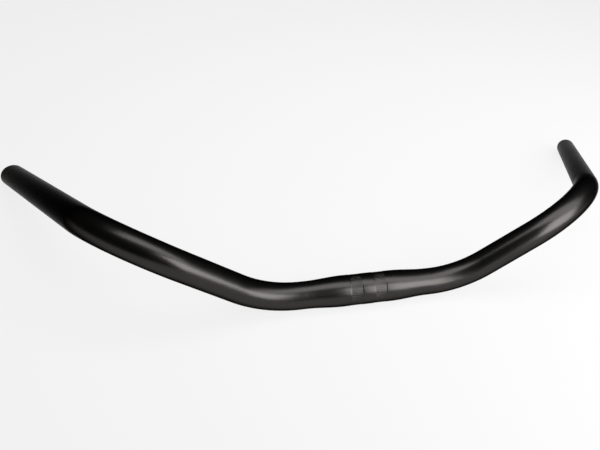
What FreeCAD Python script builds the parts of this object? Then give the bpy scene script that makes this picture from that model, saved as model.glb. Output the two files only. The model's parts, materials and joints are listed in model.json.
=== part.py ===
import FreeCAD, Part
import math
import os

from FreeCAD import Vector

# Swept-back bicycle handlebar, in millimetres and degrees: one aluminium tube, swaged and knurled in the
# middle for the stem clamp and bent twice on each side. The origin is the middle of the clamp. +X runs
# along the clamp, +Y points to the rider and +Z is up. The bar lies as it rests on a table, on the
# underside of the clamp and on the rims of both grip ends.

# Tube and its cut ends
TUBE_DIAMETER = 22.2
TUBE_WALL = 2.2
END_CHAMFER = 0.5

# Stem clamp, and the swage that narrows it to the tube on each side
CLAMP_DIAMETER = 25.4
CLAMP_WALL = 2.6
CLAMP_LENGTH = 42.0
SWAGE_LENGTH = 31.0
SWAGE_TO_BEND = 4.0

# Straights and bends of one arm along its centre line, in order from the swage outwards
INNER_BEND_RADIUS = 80.0
INNER_BEND_ANGLE = 38.5
MIDDLE_STRAIGHT = 47.0
BEND_PLANE_TURN = 129.5
OUTER_BEND_RADIUS = 69.0
OUTER_BEND_ANGLE = 82.5
GRIP_STRAIGHT = 231.0

# Two bands of straight knurling, between plain rings in the middle and at both ends of the clamp. Each is
# turned a little below the surface, with sloping ends, before its grooves are cut.
KNURL_MIDDLE_RING = 9.0
KNURL_END_RING = 5.2
KNURL_RECESS = 0.15
KNURL_SLOPE_LENGTH = 1.0
KNURL_PITCH = 1.6
KNURL_DEPTH = 0.1

# Sizes that follow from those
TUBE_RADIUS = TUBE_DIAMETER / 2
TUBE_BORE_RADIUS = TUBE_RADIUS - TUBE_WALL
CLAMP_RADIUS = CLAMP_DIAMETER / 2
CLAMP_BORE_RADIUS = CLAMP_RADIUS - CLAMP_WALL
CLAMP_END = CLAMP_LENGTH / 2
SWAGE_END = CLAMP_END + SWAGE_LENGTH
KNURL_START = KNURL_MIDDLE_RING / 2
KNURL_END = CLAMP_END - KNURL_END_RING
KNURL_RADIUS = CLAMP_RADIUS - KNURL_RECESS

# Directions, and how closely the resting lean is worked out
ORIGIN = Vector(0, 0, 0)
ALONG_CLAMP = Vector(1, 0, 0)
LEAN_HALVINGS = 60
SAME_POINT = 1e-6


class CentreLine:
    """A tube's centre line, laid out as on a tube bender: runs, bends and turns of the bend plane."""

    def __init__(self, point, heading, inward):
        self.point = point
        self.heading = heading
        self.inward = inward
        self.edges = []

    def run(self, length):
        """Go straight on."""
        end = self.point + self.heading * length
        self.edges.append(Part.LineSegment(self.point, end).toShape())
        self.point = end

    def bend(self, radius, angle):
        """Curve inward by an angle in degrees."""
        centre = self.point + self.inward * radius

        def spoke(turn):
            return self.heading * math.sin(turn) - self.inward * math.cos(turn)

        whole = math.radians(angle)
        half_way = centre + spoke(whole / 2) * radius
        end = centre + spoke(whole) * radius
        self.edges.append(Part.Arc(self.point, half_way, end).toShape())
        inward = spoke(whole) * -1
        self.heading = self.heading * math.cos(whole) + self.inward * math.sin(whole)
        self.inward = inward
        self.point = end

    def turn_plane(self, angle):
        """Turn the plane of the next bend about the heading by an angle in degrees."""
        turn = math.radians(angle)
        across = self.inward.cross(self.heading)
        self.inward = self.inward * math.cos(turn) + across * math.sin(turn)


def arm_line(lean):
    """Centre line of the +X arm, whose inner bend lies in a plane that leans forward by lean, in radians."""
    line = CentreLine(ALONG_CLAMP * SWAGE_END, ALONG_CLAMP, Vector(0, -math.sin(lean), math.cos(lean)))
    line.run(SWAGE_TO_BEND)
    line.bend(INNER_BEND_RADIUS, INNER_BEND_ANGLE)
    line.run(MIDDLE_STRAIGHT)
    line.turn_plane(BEND_PLANE_TURN)
    line.bend(OUTER_BEND_RADIUS, OUTER_BEND_ANGLE)
    line.run(GRIP_STRAIGHT)
    return line


def lowest_of_grip_end(lean):
    """Height of the lowest point on the rim of a grip end."""
    line = arm_line(lean)
    rim_centre = line.point - line.heading * END_CHAMFER
    return rim_centre.z - TUBE_RADIUS * math.sqrt(1 - line.heading.z**2)


def resting_lean():
    """Lean at which the grip ends lie level with the underside of the clamp."""
    low = -math.pi / 2
    high = math.pi / 2
    for _ in range(LEAN_HALVINGS):
        middle = (low + high) / 2
        if lowest_of_grip_end(middle) < -CLAMP_RADIUS:
            low = middle
        else:
            high = middle
    return middle


def is_rim(edge, centre):
    """Is this edge a circle about that centre?"""
    return isinstance(edge.Curve, Part.Circle) and edge.Curve.Center.isEqual(centre, SAME_POINT)


def bent_rod(line, radius):
    """A round rod along an arm's centre line."""
    disc = Part.Face(Part.Wire(Part.makeCircle(radius, ALONG_CLAMP * SWAGE_END, ALONG_CLAMP)))
    return Part.Wire(line.edges).makePipe(disc)


def arm():
    """The bent tube on the +X side, from the swage to the grip end, with its cut end deburred."""
    line = arm_line(resting_lean())
    tube = bent_rod(line, TUBE_RADIUS).cut(bent_rod(line, TUBE_BORE_RADIUS))
    return tube.makeChamfer(END_CHAMFER, [edge for edge in tube.Edges if is_rim(edge, line.point)])


def s_curve(start, end):
    """A smooth step that leaves start and reaches end parallel to the clamp."""
    half_way = (start.x + end.x) / 2
    curve = Part.BezierCurve()
    curve.setPoles([start, Vector(half_way, start.y, 0), Vector(half_way, end.y, 0), end])
    return curve.toShape()


def swaged_half():
    """The +X half of the clamp with its swage, turned about X from the section of its wall."""
    outer_middle = Vector(0, CLAMP_RADIUS, 0)
    outer_clamp_end = Vector(CLAMP_END, CLAMP_RADIUS, 0)
    outer_swage_end = Vector(SWAGE_END, TUBE_RADIUS, 0)
    inner_swage_end = Vector(SWAGE_END, TUBE_BORE_RADIUS, 0)
    inner_clamp_end = Vector(CLAMP_END, CLAMP_BORE_RADIUS, 0)
    inner_middle = Vector(0, CLAMP_BORE_RADIUS, 0)
    wall = Part.Wire([
        Part.makeLine(outer_middle, outer_clamp_end),
        s_curve(outer_clamp_end, outer_swage_end),
        Part.makeLine(outer_swage_end, inner_swage_end),
        s_curve(inner_swage_end, inner_clamp_end),
        Part.makeLine(inner_clamp_end, inner_middle),
        Part.makeLine(inner_middle, outer_middle),
    ])
    return Part.Face(wall).revolve(ORIGIN, ALONG_CLAMP, 360)


def knurl_turning():
    """The ring that is turned off the clamp for the +X band. Its ends slope on past the clamp's surface."""
    rise = KNURL_RADIUS + 2 * KNURL_RECESS
    corners = [
        Vector(KNURL_START - KNURL_SLOPE_LENGTH, rise, 0),
        Vector(KNURL_START + KNURL_SLOPE_LENGTH, KNURL_RADIUS, 0),
        Vector(KNURL_END - KNURL_SLOPE_LENGTH, KNURL_RADIUS, 0),
        Vector(KNURL_END + KNURL_SLOPE_LENGTH, rise, 0),
    ]
    return Part.Face(Part.makePolygon(corners + corners[:1])).revolve(ORIGIN, ALONG_CLAMP, 360)


def knurl_grooves():
    """V grooves along the +X band, as deep as they are wide to each side, all round it."""
    start = KNURL_START + KNURL_SLOPE_LENGTH
    length = KNURL_END - KNURL_SLOPE_LENGTH - start
    valley = KNURL_RADIUS - KNURL_DEPTH
    above = KNURL_RADIUS + KNURL_DEPTH
    side = above - valley
    corners = [Vector(start, 0, valley), Vector(start, side, above), Vector(start, -side, above)]
    groove = Part.Face(Part.makePolygon(corners + corners[:1])).extrude(ALONG_CLAMP * length)
    count = round(math.pi * CLAMP_DIAMETER / KNURL_PITCH)
    grooves = []
    for i in range(count):
        turned = groove.copy()
        turned.rotate(ORIGIN, ALONG_CLAMP, 360 * i / count)
        grooves.append(turned)
    return grooves


def with_mirror_images(shapes):
    """The shapes and their images on the -X side."""
    return shapes + [shape.mirror(ORIGIN, ALONG_CLAMP) for shape in shapes]


def handlebar():
    """Both halves of the bar as one solid, with the knurling cut into the clamp."""
    half = swaged_half().fuse(arm())
    smooth = half.fuse(half.mirror(ORIGIN, ALONG_CLAMP)).removeSplitter()
    turned = smooth.cut(with_mirror_images([knurl_turning()]))
    return turned.cut(with_mirror_images(knurl_grooves())).Solids[0]


os.makedirs("parts", exist_ok=True)
handlebar().exportStep("parts/handlebar.step")
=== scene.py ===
import json
import math

import bpy
import numpy as np
from mathutils import Matrix, Vector


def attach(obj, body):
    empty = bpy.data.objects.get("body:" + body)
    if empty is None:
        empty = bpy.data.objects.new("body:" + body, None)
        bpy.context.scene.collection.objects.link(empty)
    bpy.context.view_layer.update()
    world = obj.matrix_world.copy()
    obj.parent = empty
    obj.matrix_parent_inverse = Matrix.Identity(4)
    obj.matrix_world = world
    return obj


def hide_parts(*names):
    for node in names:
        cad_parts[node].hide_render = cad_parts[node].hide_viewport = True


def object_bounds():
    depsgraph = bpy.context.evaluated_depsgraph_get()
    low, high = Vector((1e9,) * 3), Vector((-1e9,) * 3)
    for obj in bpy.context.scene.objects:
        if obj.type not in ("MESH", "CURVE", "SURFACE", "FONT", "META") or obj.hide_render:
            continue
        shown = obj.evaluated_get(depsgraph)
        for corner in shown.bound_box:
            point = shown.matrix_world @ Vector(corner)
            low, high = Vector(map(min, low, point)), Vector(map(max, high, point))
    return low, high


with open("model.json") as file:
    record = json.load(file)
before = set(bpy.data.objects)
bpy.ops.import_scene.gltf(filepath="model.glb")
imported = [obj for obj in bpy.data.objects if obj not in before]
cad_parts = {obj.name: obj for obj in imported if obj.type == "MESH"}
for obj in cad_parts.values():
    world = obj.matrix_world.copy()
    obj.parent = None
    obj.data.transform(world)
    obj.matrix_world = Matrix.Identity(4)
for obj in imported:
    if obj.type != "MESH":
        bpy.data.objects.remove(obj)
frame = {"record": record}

# Swept-back bicycle handlebar in satin black anodised aluminium, lying on a white table. Lengths are in
# metres and angles in degrees. The origin is the middle of the stem clamp, +X runs along the clamp, +Y
# points to the rider and +Z is up.

MM_PER_METRE = 1000
cad_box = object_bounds()
mounts = {mount["name"]: mount for mount in frame["record"]["mounts"]}


def mount_size(name, key):
    """A size of one of the bar's mounts, in metres."""
    return mounts[name]["dims"][key] / MM_PER_METRE


# Sizes that the mounts give
CLAMP_RADIUS = mount_size("stem_clamp", "r_mm")
CLAMP_END = mount_size("stem_clamp", "length_mm") / 2
TUBE_RADIUS = mount_size("grip_left", "r_mm")
TUBE_BORE_RADIUS = mount_size("end_bore_left", "r_mm")
GRIP_HEADING = Vector(mounts["grip_left"]["axis"])

# The tube's other sizes, in order from the clamp outwards
CLAMP_WALL = 0.0026
SWAGE_LENGTH = 0.031
SWAGE_TO_BEND = 0.004
INNER_BEND_RADIUS = 0.080
INNER_BEND_ANGLE = 38.5
MIDDLE_STRAIGHT = 0.047
BEND_PLANE_TURN = 129.5
OUTER_BEND_RADIUS = 0.069
OUTER_BEND_ANGLE = 82.5
GRIP_STRAIGHT = 0.231
END_CHAMFER = 0.0005

# Two knurled bands on the clamp, turned a little below its surface
KNURL_MIDDLE_RING = 0.0090
KNURL_END_RING = 0.0052
KNURL_RECESS = 0.00015
KNURL_SLOPE_LENGTH = 0.0010
KNURL_GROOVES = 50
KNURL_DEPTH = 0.0001
KNURL_RUN_OUT = 0.00015
KNURL_START = KNURL_MIDDLE_RING / 2
KNURL_END = CLAMP_END - KNURL_END_RING
GROOVE_START = KNURL_START + KNURL_SLOPE_LENGTH
GROOVE_END = KNURL_END - KNURL_SLOPE_LENGTH

# How finely the mesh follows the shape
SIDES = 3 * KNURL_GROOVES
KNURL_SIDES = 12 * KNURL_GROOVES
BORE_SIDES = SIDES // 2
SLOPE_STEPS = 5
SWAGE_STEPS = 16
BEND_STEP_ANGLE = 2.0
STRAIGHT_STEP = 0.012
SHARP_ANGLE = 30

# Anodised surface: draw lines along the tube, a fine grain, and larger patches from one black to another
DRAW_LINE_STRETCH = (25, 2200, 1)
DRAW_LINE_DETAIL = 2
GRAIN_SCALE = 2500
GRAIN_DETAIL = 2
BUMP_STRENGTH = 0.3
BUMP_HEIGHT = 0.00001
PATCH_SCALE = 45
PATCH_DETAIL = 4
PATCH_LOW = 0.3
PATCH_HIGH = 0.7
DARKER_BLACK = (0.042, 0.040, 0.039, 1)
LIGHTER_BLACK = (0.047, 0.045, 0.043, 1)
SATIN_ROUGHNESS = 0.28
DULLER_ROUGHNESS = 0.32
EDGE_TINT = (0.25, 0.25, 0.25, 1)

# The camera, placed so that the outline is that of the photograph
CAMERA_PLACE = Vector((-0.1012, -0.3347, 0.3201))
CAMERA_HEADING = -16.0
CAMERA_PITCH = -25.5
CAMERA_ROLL = 5.03
CAMERA_LENS = 32.0
CAMERA_SENSOR = 36.0
CAMERA_SHIFT = (-0.1246, -0.1661)
CAMERA_NEAREST = 0.01

# The table, and how much of its white is there whatever light falls on it
TABLE_HEIGHT = cad_box[0].z
TABLE_SIZE = 40.0
TABLE_GLOW = 0.95
TABLE_GLOW_SHARE = 0.87
PAPER_WHITE = (0.8, 0.8, 0.8, 1)
PURE_WHITE = (1, 1, 1, 1)

# Softbox in front at the right
KEY_CENTRE = Vector((0.55, -0.54, 0.36))
KEY_AIM = Vector((0.71, 0.11, 0.36))
KEY_SIZE = (0.93, 0.62)
KEY_RADIANCE = 7.2

# Weaker softbox overhead
TOP_CENTRE = Vector((0.47, -0.07, 0.89))
TOP_AIM = Vector((1.02, 1.17, 0))
TOP_SIZE = (1.49, 1.03)
TOP_RADIANCE = 3.2

# Light of the dark room
ROOM_LIGHT = 0.04


class ArmLine:
    """The centre line of the +X half, from the middle of the clamp outwards, with stations along it."""

    def __init__(self, lean):
        self.along = 0.0
        self.place = Vector((0, 0, 0))
        self.heading = Vector((1, 0, 0))
        self.top = Vector((0, 0, 1))
        self.inward = Vector((0, -math.sin(lean), math.cos(lean)))
        self.stations = []
        self.mark()

    def mark(self):
        """Keep a station: distance along the line, place, and two directions across the tube."""
        self.stations.append((self.along, self.place.copy(), self.top.copy(), self.heading.cross(self.top)))

    def run_to(self, along):
        """Go straight on to a distance along the line."""
        self.place = self.place + self.heading * (along - self.along)
        self.along = along
        self.mark()

    def run(self, length, steps=1):
        """Go straight on in even steps."""
        start = self.along
        for i in range(steps):
            self.run_to(start + length * (i + 1) / steps)

    def bend(self, radius, angle):
        """Curve inward in even steps."""
        steps = math.ceil(angle / BEND_STEP_ANGLE)
        step = math.radians(angle) / steps
        turn = Matrix.Rotation(step, 3, self.heading.cross(self.inward))
        for _ in range(steps):
            centre = self.place + self.inward * radius
            self.inward = turn @ self.inward
            self.heading = turn @ self.heading
            self.top = turn @ self.top
            self.place = centre - self.inward * radius
            self.along += radius * step
            self.mark()

    def turn_plane(self, angle):
        """Turn the plane of the next bend about the heading."""
        self.inward = Matrix.Rotation(math.radians(-angle), 3, self.heading) @ self.inward

    def follow_bends(self):
        """Go on from the end of the swage to the cut end of the grip."""
        self.run(SWAGE_TO_BEND)
        self.bend(INNER_BEND_RADIUS, INNER_BEND_ANGLE)
        self.run(MIDDLE_STRAIGHT, math.ceil(MIDDLE_STRAIGHT / STRAIGHT_STEP))
        self.turn_plane(BEND_PLANE_TURN)
        self.bend(OUTER_BEND_RADIUS, OUTER_BEND_ANGLE)
        self.run(GRIP_STRAIGHT - END_CHAMFER, math.ceil(GRIP_STRAIGHT / STRAIGHT_STEP))
        self.run(END_CHAMFER)


def resting_lean():
    """Forward lean of the inner bend that points the grip along its mount."""
    upright = ArmLine(0)
    upright.follow_bends()
    now = upright.heading
    return math.atan2(GRIP_HEADING.z, GRIP_HEADING.y) - math.atan2(now.z, now.y)


def arm_stations():
    """Stations of the +X half. They are closest where the outside changes."""
    line = ArmLine(resting_lean())
    line.run_to(KNURL_START)
    line.run(KNURL_SLOPE_LENGTH * (1 - 1 / SLOPE_STEPS), SLOPE_STEPS - 1)
    line.run_to(GROOVE_START)
    line.run_to(GROOVE_START + KNURL_RUN_OUT)
    line.run_to(GROOVE_END - KNURL_RUN_OUT)
    line.run_to(GROOVE_END)
    line.run(KNURL_SLOPE_LENGTH, SLOPE_STEPS)
    line.run_to(CLAMP_END)
    line.run(SWAGE_LENGTH, SWAGE_STEPS)
    line.follow_bends()
    return line.stations


def smooth_step(along, start, length):
    """Rises smoothly from 0 at the start to 1 a length further on."""
    share = min(max((along - start) / length, 0), 1)
    return share**2 * (3 - 2 * share)


def outside_radii(along):
    """Radii round the outside at a distance from the middle. In a band each groove lowers one of them."""
    sloped_down = smooth_step(along, KNURL_START, KNURL_SLOPE_LENGTH)
    sloped_up = smooth_step(along, GROOVE_END, KNURL_SLOPE_LENGTH)
    recess = KNURL_RECESS * (sloped_down - sloped_up)
    swaged = smooth_step(along, CLAMP_END, SWAGE_LENGTH)
    radius = CLAMP_RADIUS - recess - (CLAMP_RADIUS - TUBE_RADIUS) * swaged
    knurled = GROOVE_START <= along <= GROOVE_END
    radii = np.full(KNURL_SIDES if knurled else SIDES, radius)
    if GROOVE_START < along < GROOVE_END:
        radii[:: KNURL_SIDES // KNURL_GROOVES] -= KNURL_DEPTH
    return radii


def bore_radii(along):
    """Radii round the bore at a distance from the middle."""
    clamp_bore = CLAMP_RADIUS - CLAMP_WALL
    swaged = smooth_step(along, CLAMP_END, SWAGE_LENGTH)
    return np.full(BORE_SIDES, clamp_bore + (TUBE_BORE_RADIUS - clamp_bore) * swaged)


def ring(station, radii):
    """Distance along the bar, and points round it that are evenly spaced from its underside."""
    along, place, top, side = station
    angles = np.linspace(0, 2 * math.pi, len(radii), endpoint=False)
    across = -np.outer(np.cos(angles), top) - np.outer(np.sin(angles), side)
    return along, np.array(place) + across * radii[:, None]


def mirrored(rings):
    """The same rings on the -X side."""
    return [(-along, points * (-1, 1, 1)) for along, points in rings]


def bar_rings():
    """Rings once round the tube's wall: along the outside to the +X end, and back through the bore."""
    *stations, end = arm_stations()
    outside = [ring(station, outside_radii(station[0])) for station in stations]
    outside.append(ring(end, np.full(SIDES, TUBE_RADIUS - END_CHAMFER)))
    bore = [ring(station, bore_radii(station[0])) for station in stations]
    bore.append(ring(end, np.full(BORE_SIDES, TUBE_BORE_RADIUS + END_CHAMFER)))
    return mirrored(outside[:0:-1]) + outside + bore[::-1] + mirrored(bore[1:])


def faces_between(low, high, low_sides, high_sides):
    """Faces between two rings, as (ring, column) corners. One ring may be several times as fine."""
    if low_sides == high_sides:
        return [[(low, j), (low, j + 1), (high, j + 1), (high, j)] for j in range(low_sides)]
    if low_sides > high_sides:
        return [face[::-1] for face in faces_between(high, low, high_sides, low_sides)]
    share = high_sides // low_sides
    half = share // 2
    faces = []
    for j in range(low_sides):
        first = j * share
        faces.append([(low, j), (low, j + 1), (high, first + half)])
        for i in range(share):
            near = j if i < half else j + 1
            faces.append([(low, near), (high, first + i + 1), (high, first + i)])
    return faces


def bar_mesh():
    """The bar as one closed mesh. Its map is in metres: along the bar, and round it."""
    rings = bar_rings()
    sides = [len(points) for _, points in rings]
    first_points = np.cumsum([0] + sides)
    faces = []
    for low in range(len(rings)):
        high = (low + 1) % len(rings)
        faces += faces_between(low, high, sides[low], sides[high])
    numbered = [[int(first_points[r]) + column % sides[r] for r, column in face] for face in faces]
    mesh = bpy.data.meshes.new("handlebar_tube")
    mesh.from_pydata(np.concatenate([points for _, points in rings]).tolist(), [], numbered)
    girth = 2 * math.pi * TUBE_RADIUS
    places = [(rings[r][0], girth * column / sides[r]) for face in faces for r, column in face]
    mesh.uv_layers.new(name="along_and_round").uv.foreach_set("vector", np.array(places).ravel())
    mesh.shade_smooth()
    mesh.set_sharp_from_angle(angle=math.radians(SHARP_ANGLE))
    return mesh


def add_node(tree, kind, *links, **values):
    """A shader node. A link is (input, socket); an underscore in a value's name stands for a space."""
    node = tree.nodes.new(kind)
    for name, value in values.items():
        node.inputs[name.replace("_", " ")].default_value = value
    for name, socket in links:
        tree.links.new(socket, node.inputs[name])
    return node


def new_material(name):
    """An empty material, with its node tree and output node."""
    material = bpy.data.materials.new(name)
    material.use_nodes = True
    tree = material.node_tree
    tree.nodes.clear()
    return material, tree, tree.nodes.new("ShaderNodeOutputMaterial")


def anodised_aluminium():
    """Satin black anodising, with faint draw lines along the tube and slightly duller patches."""
    material, tree, output = new_material("anodised_aluminium")
    place = tree.nodes.new("ShaderNodeTexCoord").outputs
    stretch = add_node(tree, "ShaderNodeMapping", ("Vector", place["UV"]), Scale=DRAW_LINE_STRETCH)
    lines = add_node(tree, "ShaderNodeTexNoise", ("Vector", stretch.outputs["Vector"]),
                     Scale=1, Detail=DRAW_LINE_DETAIL)
    grain = add_node(tree, "ShaderNodeTexNoise", ("Vector", place["Object"]),
                     Scale=GRAIN_SCALE, Detail=GRAIN_DETAIL)
    patches = add_node(tree, "ShaderNodeTexNoise", ("Vector", place["Object"]),
                       Scale=PATCH_SCALE, Detail=PATCH_DETAIL)
    height = add_node(tree, "ShaderNodeMath", (0, lines.outputs["Fac"]), (1, grain.outputs["Fac"]))
    bump = add_node(tree, "ShaderNodeBump", ("Height", height.outputs["Value"]),
                    Strength=BUMP_STRENGTH, Distance=BUMP_HEIGHT)
    gloss = add_node(tree, "ShaderNodeMapRange", ("Value", patches.outputs["Fac"]),
                     From_Min=PATCH_LOW, From_Max=PATCH_HIGH,
                     To_Min=SATIN_ROUGHNESS, To_Max=DULLER_ROUGHNESS)
    colour = add_node(tree, "ShaderNodeValToRGB", ("Fac", patches.outputs["Fac"]))
    low, high = colour.color_ramp.elements
    low.position = PATCH_LOW
    low.color = DARKER_BLACK
    high.position = PATCH_HIGH
    high.color = LIGHTER_BLACK
    shader = add_node(tree, "ShaderNodeBsdfPrincipled", ("Base Color", colour.outputs["Color"]),
                      ("Roughness", gloss.outputs["Result"]), ("Normal", bump.outputs["Normal"]),
                      Specular_Tint=EDGE_TINT, Metallic=1)
    tree.links.new(shader.outputs["BSDF"], output.inputs["Surface"])
    return material


def table_white():
    """White paper that looks evenly white to the camera and in reflections, and keeps a soft shadow."""
    material, tree, output = new_material("table_white")
    path = tree.nodes.new("ShaderNodeLightPath").outputs
    direct = add_node(tree, "ShaderNodeMath", (0, path["Is Camera Ray"]), (1, path["Is Glossy Ray"]))
    seen = add_node(tree, "ShaderNodeMath", (0, direct.outputs["Value"]), (1, path["Is Transmission Ray"]))
    share = add_node(tree, "ShaderNodeMapRange", ("Value", seen.outputs["Value"]), To_Max=TABLE_GLOW_SHARE)
    paper = add_node(tree, "ShaderNodeBsdfDiffuse", Color=PAPER_WHITE)
    glow = add_node(tree, "ShaderNodeEmission", Color=PURE_WHITE, Strength=TABLE_GLOW)
    mixed = add_node(tree, "ShaderNodeMixShader", ("Fac", share.outputs["Result"]),
                     (1, paper.outputs["BSDF"]), (2, glow.outputs["Emission"]))
    tree.links.new(mixed.outputs["Shader"], output.inputs["Surface"])
    return material


def add_object(name, data):
    """A new object in the scene."""
    made = bpy.data.objects.new(name, data)
    bpy.context.scene.collection.objects.link(made)
    return made


def add_softbox(name, centre, aim, size, radiance):
    """A rectangular soft light that faces a point and is itself out of the picture."""
    width, height = size
    light = bpy.data.lights.new(name, "AREA")
    light.shape = "RECTANGLE"
    light.size = width
    light.size_y = height
    light.energy = radiance * math.pi * width * height
    lamp = add_object(name, light)
    lamp.location = centre
    lamp.rotation_euler = (aim - centre).to_track_quat("-Z", "Y").to_euler()
    lamp.visible_camera = False


# The bar
bar = add_object("handlebar_tube", bar_mesh())
bar.data.materials.append(anodised_aluminium())
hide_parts("handlebar")
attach(bar, "root")

# The table
reach = TABLE_SIZE / 2
table_corners = [(-reach, -reach, 0), (reach, -reach, 0), (reach, reach, 0), (-reach, reach, 0)]
table_mesh = bpy.data.meshes.new("table")
table_mesh.from_pydata(table_corners, [], [(0, 1, 2, 3)])
table_mesh.materials.append(table_white())
table = add_object("table", table_mesh)
table.location.z = TABLE_HEIGHT

# Both softboxes and the dark room
add_softbox("key_softbox", KEY_CENTRE, KEY_AIM, KEY_SIZE, KEY_RADIANCE)
add_softbox("top_softbox", TOP_CENTRE, TOP_AIM, TOP_SIZE, TOP_RADIANCE)
room = bpy.data.worlds.new("room")
room.use_nodes = True
room_light = room.node_tree.nodes["Background"].inputs
room_light["Color"].default_value = PURE_WHITE
room_light["Strength"].default_value = ROOM_LIGHT
bpy.context.scene.world = room

# The camera, which looks straight down until it is pitched up by 90 degrees
lens = bpy.data.cameras.new("camera")
lens.sensor_width = CAMERA_SENSOR
lens.lens = CAMERA_LENS
lens.shift_x, lens.shift_y = CAMERA_SHIFT
lens.clip_start = CAMERA_NEAREST
camera = add_object("camera", lens)
heading = Matrix.Rotation(math.radians(CAMERA_HEADING), 4, "Z")
pitch = Matrix.Rotation(math.radians(90 + CAMERA_PITCH), 4, "X")
roll = Matrix.Rotation(math.radians(CAMERA_ROLL), 4, "Z")
camera.matrix_world = Matrix.Translation(CAMERA_PLACE) @ heading @ pitch @ roll
bpy.context.scene.camera = camera
bpy.context.scene.view_settings.view_transform = "Standard"

# Bring the scene's placements up to date
bpy.context.view_layer.update()
